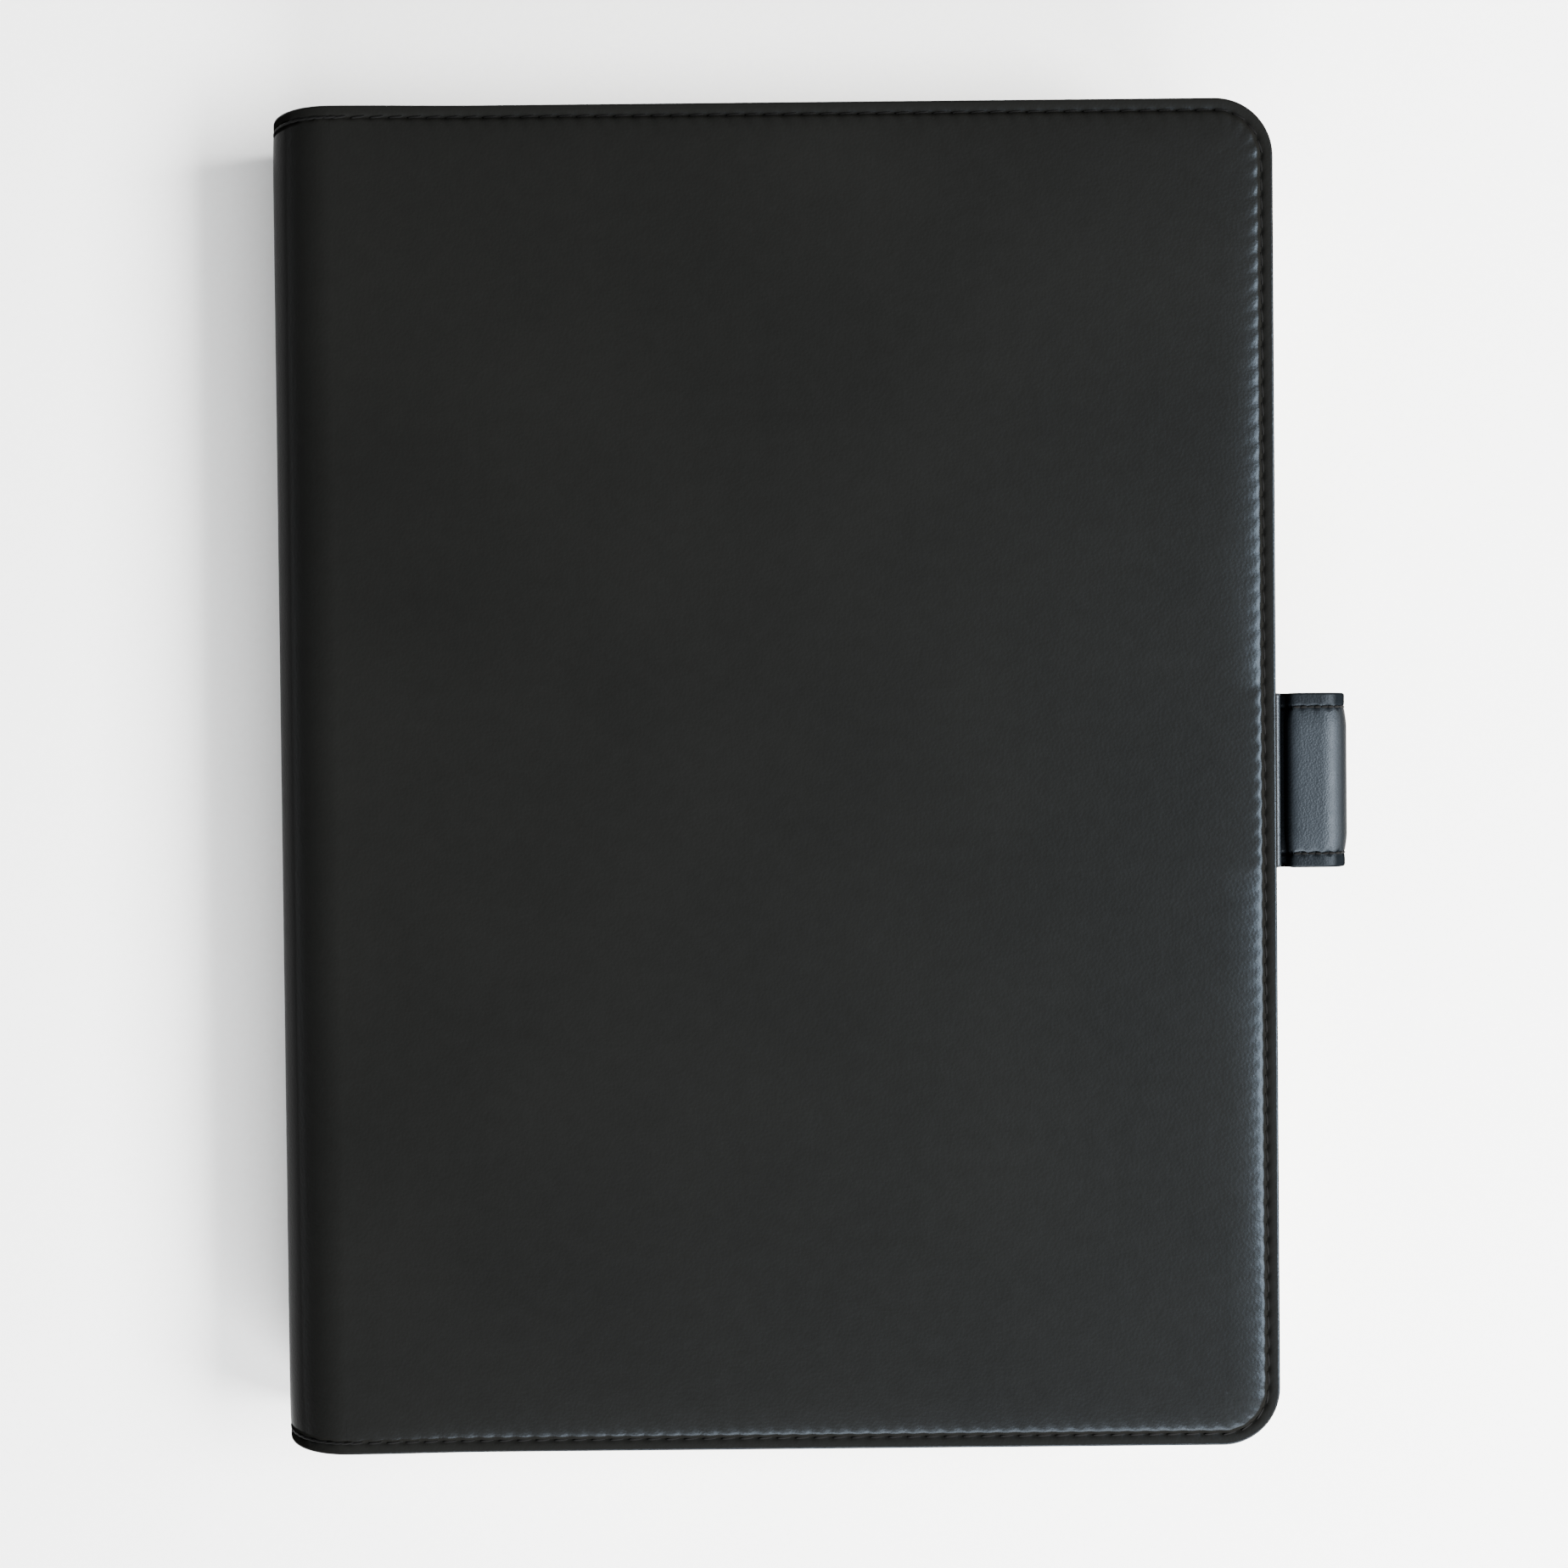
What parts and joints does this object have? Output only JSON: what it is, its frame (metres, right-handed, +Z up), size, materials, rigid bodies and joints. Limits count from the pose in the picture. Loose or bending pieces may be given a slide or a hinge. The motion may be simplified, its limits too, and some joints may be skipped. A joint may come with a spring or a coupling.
{
  "type": "leather notebook cover",
  "caption": "Leather notebook cover with padded panels, round soft spine, sewn edges, inner sleeves, card pockets and a fore-edge pen loop, closed round a sewn notebook.",
  "frame": {"origin": "middle of the back cover's outer face, on which the closed cover lies", "axes": "+X towards the fore-edge and pen loop, +Y towards the head, +Z up out of the front cover"},
  "size_m": [0.1775, 0.22, 0.024],
  "materials": {
    "outer_leather": "smooth black leather, satin",
    "inner_leather": "fine-grained black leather, matt",
    "lining_cloth": "woven dark grey lining",
    "foam": "closed-cell foam sheet",
    "board": "grey board",
    "thread": "waxed black thread",
    "paper": "uncoated cream paper",
    "card_stock": "matt dark card"
  },
  "bodies": {
    "back_cover": {"back_leather": "outer_leather", "back_foam": "foam", "back_board": "board", "back_lining": "lining_cloth", "back_sleeve": "inner_leather", "back_seam_thread": "thread"},
    "spine_1": {"spine_leather_1": "outer_leather", "spine_lining_1": "lining_cloth"},
    "spine_2": {"spine_leather_2": "outer_leather", "spine_lining_2": "lining_cloth"},
    "front_cover": {"front_leather": "outer_leather", "front_foam": "foam", "front_board": "board", "front_lining": "lining_cloth", "front_sleeve": "inner_leather", "front_seam_thread": "thread", "card_pocket_1": "inner_leather", "card_pocket_2": "inner_leather", "card_pocket_3": "inner_leather", "pen_loop_tab": "outer_leather"},
    "pen_loop": {"pen_loop_strap": "outer_leather", "pen_loop_lining": "lining_cloth"},
    "notebook_back": {"notebook_back_card": "card_stock", "notebook_spine_back": "card_stock", "signature_back_1": "paper", "signature_back_2": "paper", "signature_back_3": "paper", "signature_back_4": "paper", "signature_back_5": "paper"},
    "notebook_front": {"notebook_spine_front": "card_stock", "signature_front_1": "paper", "signature_front_2": "paper", "signature_front_3": "paper", "signature_front_4": "paper"},
    "notebook_front_card": {"notebook_front_card": "card_stock"}
  },
  "joints": [
    {"name": "spine_fold_1", "type": "hinge", "parent": "back_cover", "child": "spine_1", "pos_m": [-0.0765, 0, 0.00161], "axis": [0, -1, 0], "range_deg": [0, 60]},
    {"name": "spine_fold_2", "type": "hinge", "parent": "spine_1", "child": "spine_2", "pos_m": [-0.0825, 0, 0.012], "axis": [0, -1, 0], "range_deg": [0, 60]},
    {"name": "spine_fold_3", "type": "hinge", "parent": "spine_2", "child": "front_cover", "pos_m": [-0.0765, 0, 0.02239], "axis": [0, -1, 0], "range_deg": [0, 60]},
    {"name": "notebook_slide", "type": "slide", "parent": "back_cover", "child": "notebook_back", "axis": [-1, 0, 0], "range_m": [0, 0.0161]},
    {"name": "notebook_opening", "type": "hinge", "parent": "notebook_back", "child": "notebook_front", "pos_m": [-0.0693, 0, 0.012], "axis": [0, -1, 0], "range_deg": [0, 180]},
    {"name": "card_slide", "type": "slide", "parent": "front_cover", "child": "notebook_front_card", "axis": [-1, 0, 0], "range_m": [0, 0.0161]},
    {"name": "pen_loop_flex", "type": "hinge", "parent": "front_cover", "child": "pen_loop", "pos_m": [0.0828, -0.001, 0.0222], "axis": [0, 1, 0], "range_deg": [-20, 20], "stiffness_Nm_per_rad": 0.02}
  ],
  "couplings": [
    {"joint": "spine_fold_1", "follows": "notebook_opening", "ratio": 0.33333},
    {"joint": "spine_fold_2", "follows": "notebook_opening", "ratio": 0.33333},
    {"joint": "spine_fold_3", "follows": "notebook_opening", "ratio": 0.33333},
    {"joint": "notebook_slide", "follows": "notebook_opening", "m_per_rad": 0.005093},
    {"joint": "card_slide", "follows": "notebook_opening", "m_per_rad": 0.005093}
  ]
}
